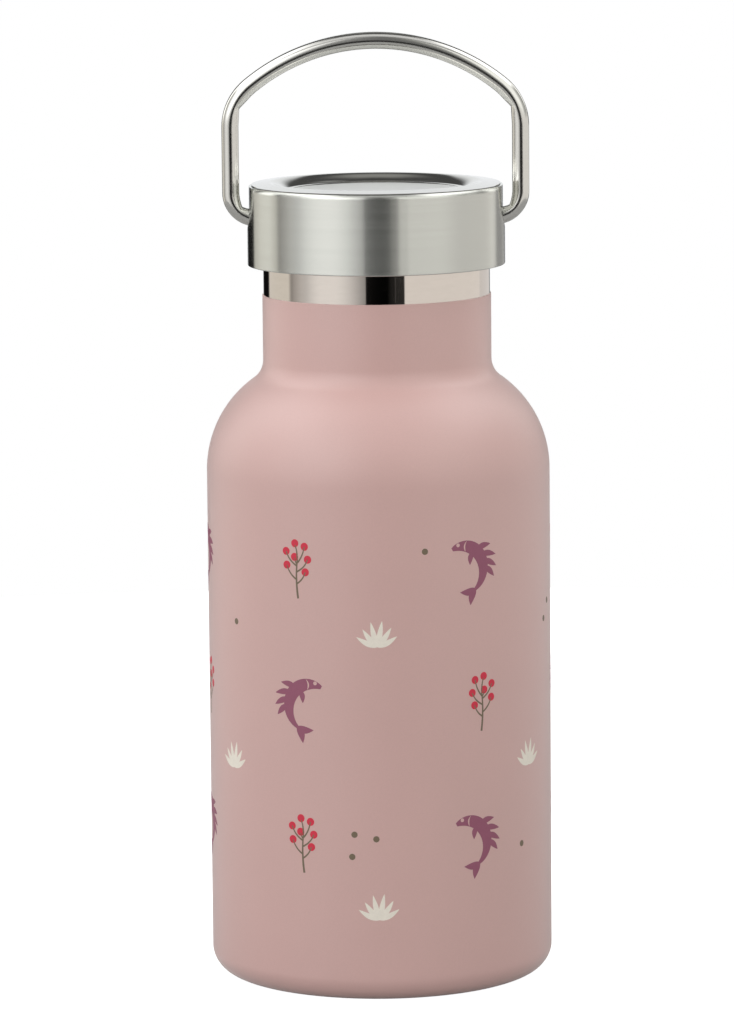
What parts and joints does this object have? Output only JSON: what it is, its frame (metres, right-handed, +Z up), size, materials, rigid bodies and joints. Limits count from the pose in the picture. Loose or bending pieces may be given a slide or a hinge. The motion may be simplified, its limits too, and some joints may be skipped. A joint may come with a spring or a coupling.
{
  "type": "vacuum bottle",
  "caption": "Small double-wall steel drinking bottle with a pink powder-coated body, a screw-on steel lid and a swinging wire handle.",
  "frame": {"origin": "on the bottle's axis, at the plane it stands on", "axes": "+Z up along the bottle's axis; the handle's two pivots lie on a line along X, and the lid is screwed home with the handle upright"},
  "size_m": [0.071, 0.071, 0.1955],
  "materials": {
    "coat": "matte powder coat",
    "lid_steel": "circumferentially brushed",
    "wire_steel": "polished wire",
    "vessel_steel": "satin",
    "polypropylene": "moulded",
    "silicone": "translucent silicone",
    "foam": "closed-cell foam",
    "solder_glass": "glossy bead",
    "getter_alloy": "sintered"
  },
  "bodies": {
    "bottle": {"outer_shell": "coat", "inner_vessel": "vessel_steel", "inner_floor": "vessel_steel", "base_plate": "vessel_steel", "base_cover": "vessel_steel", "vacuum_seal": "solder_glass", "getter_cup": "vessel_steel", "getter_pellet": "getter_alloy"},
    "seal": {"lid_seal": "silicone"},
    "lid": {"lid_shell": "lid_steel", "lid_liner": "polypropylene", "plug_cover": "polypropylene", "lid_insulation": "foam"},
    "handle": {"bail_handle": "wire_steel"}
  },
  "joints": [
    {"name": "lid_lift", "type": "slide", "parent": "bottle", "child": "seal", "axis": [0, 0, 1], "range_m": [0, 0.018]},
    {"name": "lid_turn", "type": "hinge", "parent": "seal", "child": "lid", "pos_m": [0, 0, 0.153], "axis": [0, 0, 1], "range_deg": [0, 1080]},
    {"name": "handle_swing", "type": "hinge", "parent": "lid", "child": "handle", "pos_m": [0, 0, 0.15745], "axis": [1, 0, 0], "range_deg": [-134, 134]}
  ],
  "couplings": [
    {"joint": "lid_lift", "follows": "lid_turn", "m_per_rad": 0.00095493}
  ]
}
